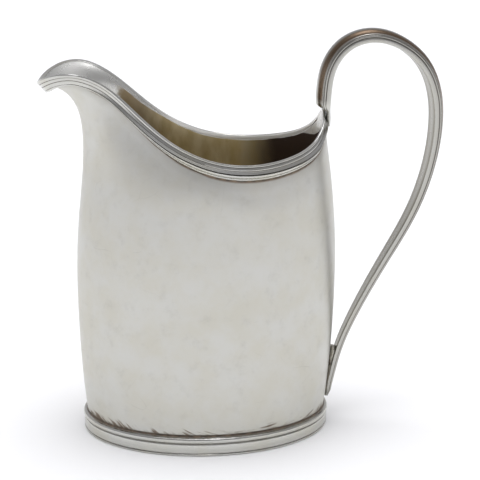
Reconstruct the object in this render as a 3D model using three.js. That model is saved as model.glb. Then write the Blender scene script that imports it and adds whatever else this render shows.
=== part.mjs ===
// Oval silver cream jug with a pulled spout, a reeded rim and a reeded strap handle.
// Millimetres, +Z up. +X points to the handle, -X to the spout.
// The model is laid out from the middle of the foot, and the finished group is then shifted so that
// its origin is the middle of the bottom of its bounding box.
import * as THREE from 'three';

// ---- Driving dimensions ----------------------------------------------------------------------
const OVAL_RATIO = 0.72; // width of the oval against its length

const BELLY_HALF_LENGTH = 36.1; // half of the length of the wall's outside at its fullest
const BELLY_HEIGHT = 43;
const LOWER_DRAW_IN = 2.2; // how much the half length shrinks from the belly to the seat of the foot
const LOWER_DRAW_HEIGHT = 38.4;
const UPPER_DRAW_IN = 3.1; // and from the belly towards the rim
const UPPER_DRAW_HEIGHT = 37;
const LEANS_BACK = 0.012; // how far the middle of the oval moves towards the handle, for each unit of height

const SHEET = 0.6; // thickness of the body's sheet
const FIT_GAP = 0.15; // left between pieces that are soldered face to face
const AROUND = 96; // divisions round the oval

const BASE_SHEET = 0.7;
const BASE_RECESS = 0.9; // the base plate's underside above the table
const BASE_CROWN = 0.5; // the plate's middle is domed up by this much
const BASE_FLAT = 0.14; // share of the plate, in from its edge, that stays flat

const FOOT_HALF_LENGTH = 35.1; // to the outside of the foot wire's bead
const FOOT_HEIGHT = 5.2;

const WIRE_STAND = 1.35; // how far the rim wire stands above the sheet's edge
const WIRE_ENDS_AT = 11.7; // degrees from the middle of the back, where the handle's edges are

// The rim, from the back of the jug (0 degrees) round one side to the tip of the spout (180).
// turn: degrees round the oval at the foot of the wall below this place
// x, y, z: the top edge of the wall's outside; lean: degrees by which the wall leans outward there
// rise: height over which the wall leaves the plain oval; straight: how far it goes straight on
// before it bends; flare: how far down from the rim its bend is felt
const RIM = [
  { turn: 0, x: 33.0, y: 0, z: 90.0, lean: -1, rise: 13, straight: 4.3, flare: 4.3 },
  { turn: 10, x: 32.6, y: 4.6, z: 87.9, lean: -1, rise: 13, straight: 4.3, flare: 4.3 },
  { turn: 28, x: 29.2, y: 11.4, z: 83.3, lean: -1, rise: 13, straight: 4.3, flare: 4.3 },
  { turn: 48, x: 22.2, y: 17.7, z: 80.7, lean: 0, rise: 13, straight: 4.3, flare: 4.3 },
  { turn: 71, x: 10.9, y: 22.5, z: 79.5, lean: 2, rise: 13, straight: 4.3, flare: 4.3 },
  { turn: 90, x: 0, y: 23.2, z: 81.2, lean: 8, rise: 15, straight: 5, flare: 4.5 },
  { turn: 107, x: -10, y: 21.3, z: 86.0, lean: 18, rise: 20, straight: 8, flare: 5 },
  { turn: 123, x: -18.7, y: 17.7, z: 93.0, lean: 34, rise: 27, straight: 13, flare: 5.5 },
  { turn: 138, x: -26.5, y: 15.9, z: 99.1, lean: 58, rise: 31, straight: 18, flare: 6 },
  { turn: 151, x: -33.8, y: 16.6, z: 101.7, lean: 63, rise: 32, straight: 21, flare: 7.5 },
  { turn: 162, x: -39.8, y: 13.8, z: 101.0, lean: 70, rise: 32, straight: 22, flare: 10 },
  { turn: 171, x: -43.4, y: 8.0, z: 99.4, lean: 79, rise: 32, straight: 22, flare: 12 },
  { turn: 180, x: -44.5, y: 0, z: 98.6, lean: 84, rise: 32, straight: 22, flare: 12.5 },
];

// The handle, from its lap behind the back of the rim, over the loop, down to its lower tip.
// x, z: the strap's inner face; width: across; edge: thickness at the edges; crown: how much the
// middle reed stands above them
const HANDLE = [
  { x: 34.25, z: 82.4, width: 5.0, edge: 0.35, crown: 0 },
  { x: 34.2, z: 85.2, width: 8.4, edge: 0.6, crown: 0 },
  { x: 34.15, z: 88.9, width: 9.2, edge: 0.7, crown: 0 },
  { x: 34.1, z: 89.9, width: 9.3, edge: 1.9, crown: 0.5 },
  { x: 34.1, z: 91.2, width: 9.5, edge: 2.1, crown: 1.2 },
  { x: 34.25, z: 94.5, width: 9.6, edge: 2.1, crown: 1.5 },
  { x: 35.5, z: 101.6, width: 9.6, edge: 2.1, crown: 1.5 },
  { x: 39.2, z: 106.6, width: 9.5, edge: 2.1, crown: 1.5 },
  { x: 45.6, z: 108.7, width: 9.4, edge: 2.1, crown: 1.45 },
  { x: 52.6, z: 106.8, width: 9.2, edge: 2.1, crown: 1.35 },
  { x: 58.6, z: 101.9, width: 9.0, edge: 2.1, crown: 1.25 },
  { x: 62.0, z: 94.5, width: 8.7, edge: 2.1, crown: 1.15 },
  { x: 62.8, z: 85.5, width: 8.3, edge: 2.05, crown: 1.05 },
  { x: 61.3, z: 73.6, width: 7.5, edge: 1.95, crown: 0.9 },
  { x: 57.0, z: 60.6, width: 6.6, edge: 1.8, crown: 0.75 },
  { x: 51.1, z: 49.3, width: 5.9, edge: 1.7, crown: 0.6 },
  { x: 45.4, z: 38.6, width: 5.2, edge: 1.65, crown: 0.4 },
  { x: 41.3, z: 30.2, width: 4.7, edge: 1.6, crown: 0.25 },
  { x: 38.2, z: 22.5, width: 4.4, edge: 1.6, crown: 0.15 },
  { x: 36.3, z: 15.5, width: 4.3, edge: 1.55, crown: 0.1 },
  { x: 35.1, z: 9.0, width: 4.0, edge: 1.3, crown: 0.05 },
  { x: 34.8, z: 6.9, width: 2.4, edge: 0.8, crown: 0 },
];
const TOP_OF_LOOP = 8; // number of the station from which the handle runs downward
const HANDLE_STEPS = 66;

const SOLDER_TOP = 22.0; // top of the solder that fills the wedge behind the strap's lower end
const SOLDER_BOTTOM = 13;
const SOLDER_WIDTH = 3.2;

// ---- Materials -------------------------------------------------------------------------------
const silver = (color, roughness) => new THREE.MeshStandardMaterial({ color, roughness, metalness: 1 });
const WALL_SILVER = silver(0xcdcdc6, 0.3);
const BASE_SILVER = silver(0xb9b8ae, 0.4);
const WIRE_SILVER = silver(0xd8d8d4, 0.2);
const STRAP_SILVER = silver(0xc4c2ba, 0.22);
const OLD_SOLDER = silver(0x6e675c, 0.5);

// ---- Helpers ---------------------------------------------------------------------------------
const radians = THREE.MathUtils.degToRad;
const TURNS_OF_RIM = RIM.map((station) => radians(station.turn));

// Smooth interpolation of listed values: a cubic between neighbours, with the slope at each one
// taken from the places on both sides of it. flatEnds says that the slope is zero at both ends.
function smooth(places, values, place, flatEnds = false) {
  const last = places.length - 1;
  let i = 0;
  while (i < last - 1 && place > places[i + 1]) {
    i += 1;
  }
  const slope = (k) => {
    if (flatEnds && (k === 0 || k === last)) {
      return 0;
    }
    const before = Math.max(k - 1, 0);
    const after = Math.min(k + 1, last);
    return (values[after] - values[before]) / (places[after] - places[before]);
  };
  const span = places[i + 1] - places[i];
  const t = (place - places[i]) / span;
  const t2 = t * t;
  const t3 = t2 * t;
  return (
    values[i] * (2 * t3 - 3 * t2 + 1) +
    values[i + 1] * (3 * t2 - 2 * t3) +
    slope(i) * span * (t3 - 2 * t2 + t) +
    slope(i + 1) * span * (t3 - t2)
  );
}

// Moves every vertex of a geometry to the place that a function gives for it.
function reshape(geometry, place) {
  const positions = geometry.getAttribute('position');
  const vertex = new THREE.Vector3();
  for (let i = 0; i < positions.count; i += 1) {
    vertex.fromBufferAttribute(positions, i);
    const moved = place(vertex);
    positions.setXYZ(i, moved.x, moved.y, moved.z);
  }
  geometry.computeVertexNormals();
  return geometry;
}

// A lathe-turned ring whose section is given as [out, up] pairs, to be reshaped by angle.
// RING_RADIUS only keeps the turned stock clear of its axis.
const RING_RADIUS = 10;
function turnedRing(section) {
  const points = section.map(([out, up]) => new THREE.Vector2(RING_RADIUS + out, up));
  points.push(points[0].clone());
  return new THREE.LatheGeometry(points, AROUND);
}

// Reads back, from a vertex of turned stock, its angle and its place in the section.
function readRing(vertex) {
  return {
    turn: Math.atan2(vertex.x, vertex.z),
    out: Math.hypot(vertex.x, vertex.z) - RING_RADIUS,
    up: vertex.y,
  };
}

// ---- The wall's surface ----------------------------------------------------------------------
function halfLengthAt(z) {
  if (z < BELLY_HEIGHT) {
    return BELLY_HALF_LENGTH - LOWER_DRAW_IN * ((BELLY_HEIGHT - z) / LOWER_DRAW_HEIGHT) ** 2;
  }
  return BELLY_HALF_LENGTH - UPPER_DRAW_IN * ((z - BELLY_HEIGHT) / UPPER_DRAW_HEIGHT) ** 2;
}

// A point of the oval at an angle, `out` beyond it and at height z.
function ovalPoint(turn, halfLength, out, z) {
  const halfWidth = halfLength * OVAL_RATIO;
  const normal = new THREE.Vector2(halfWidth * Math.cos(turn), halfLength * Math.sin(turn)).normalize();
  return new THREE.Vector3(
    halfLength * Math.cos(turn) + out * normal.x + LEANS_BACK * z,
    halfWidth * Math.sin(turn) + out * normal.y,
    z,
  );
}

// The rim's values at an angle between -PI and PI. The two sides mirror each other.
function rimAt(turn) {
  const side = Math.sign(turn) || 1;
  const along = Math.abs(turn);
  const read = (key, flatEnds = true) =>
    smooth(TURNS_OF_RIM, RIM.map((station) => station[key]), along, flatEnds);
  return {
    place: new THREE.Vector3(read('x'), side * read('y', false), read('z')),
    lean: radians(read('lean')),
    rise: read('rise'),
    straight: read('straight'),
    flare: read('flare'),
  };
}

// The same angle, brought back between -PI and PI.
function wrapped(turn) {
  return THREE.MathUtils.euclideanModulo(turn + Math.PI, 2 * Math.PI) - Math.PI;
}

// Direction that faces away from the jug, level, at an angle of the rim.
function rimOutward(turn) {
  const step = 0.002;
  const ahead = rimAt(wrapped(turn + step)).place;
  const behind = rimAt(wrapped(turn - step)).place;
  return new THREE.Vector3(ahead.y - behind.y, behind.x - ahead.x, 0).normalize();
}

// The upper part of the wall at one angle: from where it leaves the plain oval up to the rim.
const columns = new Map();
function columnAt(turn) {
  const key = turn.toFixed(5);
  if (columns.has(key)) {
    return columns.get(key);
  }
  const { place, lean, rise, straight, flare } = rimAt(turn);
  const startZ = place.z - rise;
  const start = ovalPoint(turn, halfLengthAt(startZ), 0, startZ);
  const upward = ovalPoint(turn, halfLengthAt(startZ + 1), 0, startZ + 1).sub(start).normalize();
  const leaning = rimOutward(turn).multiplyScalar(Math.sin(lean));
  leaning.z = Math.cos(lean);
  const column = new THREE.CubicBezierCurve3(
    start,
    start.clone().addScaledVector(upward, straight),
    place.clone().addScaledVector(leaning, -flare),
    place,
  );
  columns.set(key, { column, length: column.getLength(), startZ });
  return columns.get(key);
}

// The wall's outside at an angle, at a distance below the rim's top edge, measured down the wall.
function wallPoint(turn, down) {
  const { column, length, startZ } = columnAt(turn);
  if (down <= length) {
    return column.getPointAt(1 - down / length);
  }
  const z = startZ - (down - length);
  return ovalPoint(turn, halfLengthAt(z), 0, z);
}

// The same, moved off the surface by `out`.
function offWall(turn, down, out) {
  const step = 0.004;
  const acrossA = wallPoint(wrapped(turn + step), down);
  const acrossB = wallPoint(wrapped(turn - step), down);
  const upA = wallPoint(turn, Math.max(down - 0.05, 0));
  const upB = wallPoint(turn, down + 0.05);
  const normal = acrossA.sub(acrossB).cross(upA.sub(upB)).normalize();
  return wallPoint(turn, down).addScaledVector(normal, out);
}

// ---- Pieces ----------------------------------------------------------------------------------
// The body: one sheet, rolled, seamed at the back, raised to the oval, its spout pulled out.
// The stock is a thin turned tube, 0 high at the table and 1 at the sheet's upper edge. Its rows of
// vertices stand closer together towards the rim, where the wall bends most.
const WALL_ROWS = [0, 0.16, 0.3, 0.42, 0.53, 0.63, 0.71, 0.78, 0.83, 0.87, 0.905, 0.935, 0.96, 0.98, 1];
function bodyShell() {
  const section = [
    ...WALL_ROWS.map((up) => [0, up]),
    ...WALL_ROWS.toReversed().map((up) => [-SHEET, up]),
  ];
  return reshape(turnedRing(section), (vertex) => {
    const { turn, out, up } = readRing(vertex);
    const { length, startZ } = columnAt(turn);
    const wholeWall = length + startZ;
    const down = THREE.MathUtils.lerp(wholeWall, WIRE_STAND, up);
    const point = offWall(turn, down, out);
    if (up === 0) {
      point.z = 0;
    }
    return point;
  });
}

// The base: a flat oval plate let into the wall, domed up a little so that it cannot rock.
function basePlate() {
  const fitted = SHEET + FIT_GAP;
  const halfLength = halfLengthAt(BASE_RECESS) - fitted;
  const halfWidth = halfLengthAt(BASE_RECESS) * OVAL_RATIO - fitted;
  const underside = [
    [0, BASE_CROWN],
    [0.5, BASE_CROWN * 0.9],
    [1 - BASE_FLAT, 0],
    [1, 0],
  ];
  const section = [
    ...underside.map(([out, up]) => new THREE.Vector2(out, BASE_RECESS + up)),
    ...underside.toReversed().map(([out, up]) => new THREE.Vector2(out, BASE_RECESS + BASE_SHEET + up)),
  ];
  return reshape(new THREE.LatheGeometry(section, AROUND), (vertex) => {
    const x = vertex.z * halfLength + LEANS_BACK * BASE_RECESS;
    return new THREE.Vector3(x, vertex.x * halfWidth, vertex.y);
  });
}

// The foot wire: a drawn moulding round the bottom of the wall, a plain band under a fine bead.
function footWire() {
  // Pairs of distance in from the foot's greatest outline and height above the table.
  const outline = [
    [0.48, 0],
    [0.26, 0.35],
    [0.12, 1.7],
    [0.24, 3.2],
    [0.44, 3.5],
    [0.18, 3.8],
    [0, 4.4],
    [0.18, 5.0],
    [0.5, FOOT_HEIGHT],
  ];
  for (const z of [FOOT_HEIGHT - 0.2, FOOT_HEIGHT / 2, 0]) {
    outline.push([FOOT_HALF_LENGTH - halfLengthAt(z) - FIT_GAP, z]);
  }
  return reshape(turnedRing(outline.map(([inward, z]) => [-inward, z])), (vertex) => {
    const { turn, out, up } = readRing(vertex);
    const wall = halfLengthAt(up);
    return ovalPoint(turn, wall, FOOT_HALF_LENGTH + out - wall, up);
  });
}

// The rim wire: a drawn strip with a wide reed, a narrow one and a bead, soldered round the outside
// of the sheet's upper edge and standing a little above it. It stops at both edges of the handle.
function rimWire() {
  const section = new THREE.Shape();
  // Pairs of distance out from the sheet's outside and distance below the wire's top edge.
  const outline = [
    [-0.35, 0],
    [0.35, 0.05],
    [0.7, 0.45],
    [0.9, 1.25],
    [0.78, 2.15],
    [0.55, 2.35],
    [0.8, 2.65],
    [0.55, 2.95],
    [0.95, 3.45],
    [0.72, 4.05],
    [FIT_GAP, 4.15],
    [FIT_GAP, WIRE_STAND - FIT_GAP],
    [-SHEET, WIRE_STAND - FIT_GAP],
    [-SHEET, 0.4],
  ];
  section.setFromPoints(outline.map(([out, down]) => new THREE.Vector2(out, -down)));
  const strip = new THREE.ExtrudeGeometry(section, { depth: 1, steps: AROUND, bevelEnabled: false });
  const swept = 2 * (Math.PI - radians(WIRE_ENDS_AT));
  return reshape(strip, (vertex) => {
    const turn = radians(WIRE_ENDS_AT) + (1 - vertex.z) * swept;
    return offWall(wrapped(turn), -vertex.y, vertex.x);
  });
}

// The handle: a strap with a flat inner face, a reed at each edge and a bold one in the middle.
// Its stock is a straight bar: x from -1 to 1 across, y from 0 to 1 through the edges' thickness and
// 1 to 2 through the crown, z from 0 to 1 along it.
function handleStrap() {
  const halfOutline = [
    [0.95, 0],
    [1, 0.12],
    [1, 0.8],
    [0.93, 1],
    [0.84, 0.95],
    [0.76, 0.66],
    [0.67, 1],
    [0.5, 1.55],
    [0.26, 1.9],
  ];
  const outline = [
    ...halfOutline,
    [0, 2],
    ...halfOutline.toReversed().map(([across, through]) => [-across, through]),
  ];
  const section = new THREE.Shape(outline.map((pair) => new THREE.Vector2(...pair)));
  const bar = new THREE.ExtrudeGeometry(section, { depth: 1, steps: HANDLE_STEPS, bevelEnabled: false });

  const route = new THREE.CatmullRomCurve3(
    HANDLE.map((station) => new THREE.Vector3(station.x, 0, station.z)),
    false,
    'centripetal',
  );
  const stationPlaces = HANDLE.map((_, i) => i / (HANDLE.length - 1));
  const read = (key, along) => smooth(stationPlaces, HANDLE.map((station) => station[key]), along);
  return reshape(bar, (vertex) => {
    const along = vertex.z;
    const heading = route.getTangent(along);
    const outward = new THREE.Vector3(-heading.z, 0, heading.x);
    const inEdge = Math.min(vertex.y, 1) * read('edge', along);
    const inCrown = Math.max(vertex.y - 1, 0) * read('crown', along);
    const point = route.getPoint(along).addScaledVector(outward, inEdge + inCrown);
    point.y = (vertex.x * read('width', along)) / 2;
    return point;
  });
}

// The solder that fills the narrow wedge between the wall and the strap's lower end.
function heelSolder() {
  const wallX = (z) => halfLengthAt(z) + LEANS_BACK * z + FIT_GAP;
  const downward = HANDLE.slice(TOP_OF_LOOP);
  const strapDrops = downward.map((station) => -station.z);
  const strapX = (z) => smooth(strapDrops, downward.map((station) => station.x), -z) - FIT_GAP;
  const shares = [0, 0.25, 0.5, 0.75, 1];
  const levels = shares.map((share) => THREE.MathUtils.lerp(SOLDER_BOTTOM, SOLDER_TOP, share));
  const outline = [
    ...levels.map((z) => new THREE.Vector2(strapX(z), z)),
    ...levels.toReversed().map((z) => new THREE.Vector2(wallX(z), z)),
  ];
  const section = new THREE.Shape(outline);
  const wedge = new THREE.ExtrudeGeometry(section, { depth: SOLDER_WIDTH, bevelEnabled: false });
  wedge.rotateX(Math.PI / 2);
  wedge.translate(0, SOLDER_WIDTH / 2, 0);
  return wedge;
}

// ---- The jug ---------------------------------------------------------------------------------
const jug = new THREE.Group();
function add(name, geometry, material) {
  const mesh = new THREE.Mesh(geometry, material);
  mesh.name = name;
  jug.add(mesh);
}
add('body_shell', bodyShell(), WALL_SILVER);
add('base_plate', basePlate(), BASE_SILVER);
add('foot_wire', footWire(), WIRE_SILVER);
add('rim_wire', rimWire(), WIRE_SILVER);
add('handle_strap', handleStrap(), STRAP_SILVER);
add('heel_solder', heelSolder(), OLD_SOLDER);

const bounds = new THREE.Box3().setFromObject(jug);
jug.position.x = -(bounds.min.x + bounds.max.x) / 2;

export default jug;
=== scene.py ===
"""Oval silver cream jug: its visible pieces and a plain studio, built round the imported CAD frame."""

import math

import bpy
import numpy as np
from bpy.props import FloatProperty, FloatVectorProperty, IntProperty, PointerProperty
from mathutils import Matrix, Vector, noise


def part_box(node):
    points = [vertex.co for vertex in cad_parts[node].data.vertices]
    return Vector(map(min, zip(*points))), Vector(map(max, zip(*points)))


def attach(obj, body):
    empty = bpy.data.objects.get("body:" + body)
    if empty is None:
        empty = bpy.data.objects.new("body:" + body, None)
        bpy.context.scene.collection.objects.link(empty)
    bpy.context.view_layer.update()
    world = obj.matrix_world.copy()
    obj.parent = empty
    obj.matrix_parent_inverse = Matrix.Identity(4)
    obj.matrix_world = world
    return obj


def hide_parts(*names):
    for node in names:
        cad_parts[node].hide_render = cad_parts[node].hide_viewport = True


bl_info = {
    "name": "Oval cream jug",
    "version": (1, 0, 0),
    "blender": (4, 5, 0),
    "location": "View3D > Sidebar > Cream jug",
    "description": "Builds the pieces of an old silver cream jug and a plain studio round them",
    "category": "Add Mesh",
}

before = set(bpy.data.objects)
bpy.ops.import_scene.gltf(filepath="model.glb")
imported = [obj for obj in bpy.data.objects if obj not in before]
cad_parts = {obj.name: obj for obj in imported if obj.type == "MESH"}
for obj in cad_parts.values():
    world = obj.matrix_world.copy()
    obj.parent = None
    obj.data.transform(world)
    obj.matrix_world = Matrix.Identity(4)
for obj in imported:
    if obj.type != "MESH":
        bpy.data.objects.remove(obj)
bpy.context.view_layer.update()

MM = 0.001  # one millimetre, in the scene's metres
BODY = "root"

# ---- The jug's shape, in millimetres from the middle of the foot -------------------------------
OVAL_RATIO = 0.72  # width of the oval against its length
BELLY_HALF_LENGTH = 36.1
BELLY_HEIGHT = 43.0
LOWER_DRAW_IN = 2.2  # how much the half length shrinks from the belly to the seat of the foot
LOWER_DRAW_HEIGHT = 38.4
UPPER_DRAW_IN = 3.1
UPPER_DRAW_HEIGHT = 37.0
LEANS_BACK = 0.012  # how far the middle of the oval moves towards the handle, per unit of height
SHEET = 0.6  # thickness of the body's sheet
BASE_SHEET = 0.7
BEAD_HEIGHT = 4.4  # of the foot wire's bead, its widest place
FOOT_TOP = 5.75  # where the foot wire ends on the wall
WIRE_STAND = 1.35  # how far the rim wire stands above the sheet's edge
WIRE_DEPTH = 4.4  # how far the rim wire reaches down the wall
WIRE_ENDS_AT = math.radians(10.5)
WIRE_TAPERS_OVER = math.radians(15)
WIRE_END_DEPTH = 0.62  # share of its depth that it keeps at its ends
WIRE_END_STAND = 0.85  # share of its thickness that it keeps there

# The rim from the back of the jug round one side to the tip of the spout: the angle round the
# oval, the top edge's x, y and z, how far the wall leans out there in degrees, the height over
# which it leaves the plain oval, and how long it runs straight at the bottom and at the top of that.
RIM = np.array(
    [
        (0, 33.0, 0, 90.2, -1, 13, 4.3, 4.3),
        (10, 32.6, 4.6, 88.5, -1, 13, 4.3, 4.3),
        (28, 29.2, 11.4, 83.7, -1, 13, 4.3, 4.3),
        (48, 22.2, 17.7, 80.7, 0, 13, 4.3, 4.3),
        (71, 10.9, 22.5, 79.5, 2, 13, 4.3, 4.3),
        (90, 0, 23.2, 81.2, 8, 12, 5, 3.2),
        (107, -10, 21.3, 86.0, 18, 17, 8, 3.8),
        (123, -18.7, 17.7, 93.0, 34, 25, 13, 4.6),
        (138, -26.5, 15.9, 99.4, 58, 31, 18, 6),
        (151, -33.8, 16.6, 102.2, 63, 32, 21, 7.5),
        (162, -39.8, 13.8, 101.5, 70, 32, 22, 10),
        (171, -43.4, 8.0, 99.6, 79, 32, 22, 12),
        (180, -44.5, 0, 98.4, 84, 32, 22, 12.5),
    ]
)

# The rim wire's dark grooves and the start of its line of solder, measured down it, and how much
# further its face tips up than the wall: degrees round the oval, then the slope there.
RIM_GROOVES = [0.68, 1.52, 2.5]
RIM_SOLDER = 3.92
RIM_TWIST = (
    [0, 80, 107, 123, 140, 151, 162, 171, 180],
    [0, 0, 0.1, 0.16, 0.1, 0.14, 0.26, 0.36, 0.36],
)

# The foot wire's dark grooves and the start of its line of solder, measured up from the table.
FOOT_GROOVES = [0.7, 3.43]
FOOT_SOLDER = 5.2

# The handle from its lap behind the rim, over the loop, to its lower tip: x and z of the inner
# face, width, thickness at the edges, and how far the middle reed stands above them.
HANDLE = np.array(
    [
        (34.05, 86.2, 8.2, 0.5, 0),
        (34.12, 87.2, 9.2, 0.95, 0),
        (34.05, 90.4, 9.4, 0.95, 0),
        (34.03, 90.8, 9.4, 1.7, 0.7),
        (34.05, 91.5, 9.5, 2.05, 1.35),
        (34.2, 94.0, 9.6, 2.1, 1.5),
        (35.5, 101.6, 9.6, 2.1, 1.5),
        (39.2, 106.6, 9.5, 2.1, 1.5),
        (45.6, 108.7, 9.4, 2.1, 1.45),
        (52.6, 106.8, 9.2, 2.1, 1.35),
        (58.6, 101.9, 9.0, 2.1, 1.25),
        (62.0, 94.5, 8.7, 2.1, 1.15),
        (62.8, 85.5, 8.3, 2.05, 1.05),
        (61.2, 73.6, 7.5, 1.95, 0.9),
        (56.7, 60.6, 6.6, 1.8, 0.75),
        (50.7, 49.3, 5.9, 1.7, 0.6),
        (44.9, 38.6, 5.2, 1.65, 0.4),
        (40.8, 30.2, 4.7, 1.6, 0.25),
        (37.7, 22.5, 4.4, 1.6, 0.15),
        (35.85, 15.5, 4.3, 1.55, 0.1),
        (34.7, 9.0, 4.0, 1.3, 0.05),
        (34.45, 6.9, 2.4, 0.8, 0),
    ]
)

HEEL_BOTTOM = 7.6  # where the heel's solder runs out, just above the strap's tip
HEEL_DEPTH = ([7, 9, 14], [1.1, 1.9, 2.1])  # heights, and half the solder's depth there

foot_low, foot_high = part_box("foot_wire")
MIDDLE_X = (foot_low.x + foot_high.x) / 2 / MM - LEANS_BACK * BEAD_HEIGHT


# ---- Curves and the wall's surface -------------------------------------------------------------
def spline(places, values, level_ends):
    """A function that runs through the values with even bending, and level at its ends if asked."""
    places = np.asarray(places, float)
    values = np.asarray(values, float)
    gaps = np.diff(places)
    rises = np.diff(values) / gaps
    count = len(places)
    system = np.zeros((count, count))
    right = np.zeros(count)
    for i in range(1, count - 1):
        system[i, i - 1 : i + 2] = gaps[i - 1], 2 * (gaps[i - 1] + gaps[i]), gaps[i]
        right[i] = 6 * (rises[i] - rises[i - 1])
    if level_ends:
        system[0, :2] = 2 * gaps[0], gaps[0]
        system[-1, -2:] = gaps[-1], 2 * gaps[-1]
        right[0] = 6 * rises[0]
        right[-1] = -6 * rises[-1]
    else:
        system[0, 0] = system[-1, -1] = 1
    bends = np.linalg.solve(system, right)

    def read(at):
        i = np.clip(np.searchsorted(places, at) - 1, 0, count - 2)
        gap = gaps[i]
        to_next = places[i + 1] - at
        from_last = at - places[i]
        return (
            (bends[i] * to_next**3 + bends[i + 1] * from_last**3) / (6 * gap)
            + (values[i] / gap - bends[i] * gap / 6) * to_next
            + (values[i + 1] / gap - bends[i + 1] * gap / 6) * from_last
        )

    return read


def wrapped(turn):
    """The same angle, between -pi and pi."""
    return (np.asarray(turn) + math.pi) % (2 * math.pi) - math.pi


# Each column of the rim's table as a function of the angle. Only y isn't level at the two ends.
rim_x, rim_y, rim_z, rim_lean, rim_rise, rim_straight, rim_flare = [
    spline(np.radians(RIM[:, 0]), RIM[:, column], level_ends=column != 2) for column in range(1, 8)
]


def half_length_at(z):
    """Half the length of the plain oval at a height."""
    below = LOWER_DRAW_IN * ((BELLY_HEIGHT - z) / LOWER_DRAW_HEIGHT) ** 2
    above = UPPER_DRAW_IN * ((z - BELLY_HEIGHT) / UPPER_DRAW_HEIGHT) ** 2
    return BELLY_HALF_LENGTH - np.where(z < BELLY_HEIGHT, below, above)


def oval_points(turns, half_length, z, out=0.0):
    """Points of the oval at each angle, `out` beyond it and at height z."""
    half_width = half_length * OVAL_RATIO
    normal_x = half_width * np.cos(turns)
    normal_y = half_length * np.sin(turns)
    size = np.hypot(normal_x, normal_y)
    x = half_length * np.cos(turns) + out * normal_x / size + LEANS_BACK * z
    y = half_width * np.sin(turns) + out * normal_y / size
    return np.stack(np.broadcast_arrays(x, y, z), axis=-1)


def rim_points(turns):
    """Points of the rim's top edge."""
    turns = wrapped(turns)
    along = np.abs(turns)
    side = np.where(turns < 0, -1.0, 1.0)
    return np.stack([rim_x(along), side * rim_y(along), rim_z(along)], axis=-1)


def wall_columns(turns):
    """At each angle, the four control points of the upper wall's curve, and its starting height."""
    along = np.abs(turns)
    top = rim_points(turns)
    start_z = top[:, 2] - rim_rise(along)
    start = oval_points(turns, half_length_at(start_z), start_z)
    upward = oval_points(turns, half_length_at(start_z + 1), start_z + 1) - start
    upward /= np.linalg.norm(upward, axis=1)[:, None]
    step = 0.002
    ahead = rim_points(turns + step) - rim_points(turns - step)
    level = np.hypot(ahead[:, 0], ahead[:, 1])
    lean = np.radians(rim_lean(along))
    leaning = np.stack(
        [ahead[:, 1] / level * np.sin(lean), -ahead[:, 0] / level * np.sin(lean), np.cos(lean)],
        axis=-1,
    )
    low_handle = start + upward * rim_straight(along)[:, None]
    high_handle = top - leaning * rim_flare(along)[:, None]
    return np.stack([start, low_handle, high_handle, top]), start_z


def bezier(points, share):
    """Points of cubic curves at a share of the way along each."""
    s = share[..., None]
    a, b, c, d = points
    return a * (1 - s) ** 3 + 3 * b * s * (1 - s) ** 2 + 3 * c * s**2 * (1 - s) + d * s**3


def curve_lengths(controls):
    """Shares along the upper wall's curves, and the length reached at each share."""
    shares = np.linspace(0, 1, 81)
    points = bezier(controls[:, :, None, :], shares[None, :])
    steps = np.linalg.norm(np.diff(points, axis=1), axis=2)
    return shares, np.concatenate([np.zeros((len(steps), 1)), np.cumsum(steps, axis=1)], axis=1)


def wall_length(turns):
    """Length of the wall at each angle, measured down its outside from the rim to the table."""
    controls, start_z = wall_columns(turns)
    return curve_lengths(controls)[1][:, -1] + start_z


def wall_points(turns, downs):
    """Points of the wall's outside at each angle and at each distance down the wall from the rim."""
    turns = wrapped(turns)
    controls, start_z = wall_columns(turns)
    shares, reached = curve_lengths(controls)
    result = np.empty(downs.shape + (3,))
    for i, turn in enumerate(turns):
        length = reached[i, -1]
        share = np.interp(length - downs[i], reached[i], shares)
        curved = bezier(controls[:, i, None, :], share)
        z = start_z[i] - (downs[i] - length)
        plain = oval_points(turn, half_length_at(z), z)
        result[i] = np.where((downs[i] <= length)[:, None], curved, plain)
    return result


def off_wall(turns, downs, out):
    """The same points, moved off the wall's surface by `out`."""
    turns = np.asarray(turns, float)
    downs = np.broadcast_to(downs, np.broadcast_shapes(np.shape(downs), (len(turns), 1)))
    turn_step = 0.004
    down_step = 0.05
    across = wall_points(turns + turn_step, downs) - wall_points(turns - turn_step, downs)
    upward = wall_points(turns, np.maximum(downs - down_step, 0)) - wall_points(turns, downs + down_step)
    normals = np.cross(across, upward)
    normals /= np.linalg.norm(normals, axis=2)[:, :, None]
    return wall_points(turns, downs) + normals * np.broadcast_to(out, downs.shape)[:, :, None]


# ---- Making a piece ----------------------------------------------------------------------------
UV_UNIT = 0.01  # UV distance that stands for one millimetre
SEAM = 1e-7  # vertices of a joined seam are closer than this, in metres


def wrapped_sheet(name, points, flat):
    """Adds a flat grid and moves its vertices to a table of points, in millimetres.

    The table is indexed by place along and place across. `flat` holds the pattern's coordinates,
    in millimetres, for the same places.
    """
    along = points.shape[0] - 1
    across = points.shape[1] - 1
    bpy.ops.object.select_all(action="DESELECT")
    bpy.ops.mesh.primitive_grid_add(x_subdivisions=along, y_subdivisions=across, size=1)
    piece = bpy.context.object
    piece.name = piece.data.name = name
    mesh = piece.data
    flat_places = np.empty(len(mesh.vertices) * 3)
    mesh.vertices.foreach_get("co", flat_places)
    flat_places = flat_places.reshape(-1, 3)
    i = np.rint((flat_places[:, 0] + 0.5) * along).astype(int)
    j = np.rint((flat_places[:, 1] + 0.5) * across).astype(int)
    placed = (points[i, j] + (MIDDLE_X, 0, 0)) * MM
    mesh.vertices.foreach_set("co", placed.ravel())
    corners = np.empty(len(mesh.loops), np.int32)
    mesh.loops.foreach_get("vertex_index", corners)
    mesh.uv_layers.active.data.foreach_set("uv", (flat[i, j] * UV_UNIT)[corners].ravel())
    mesh.update()
    return piece


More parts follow.
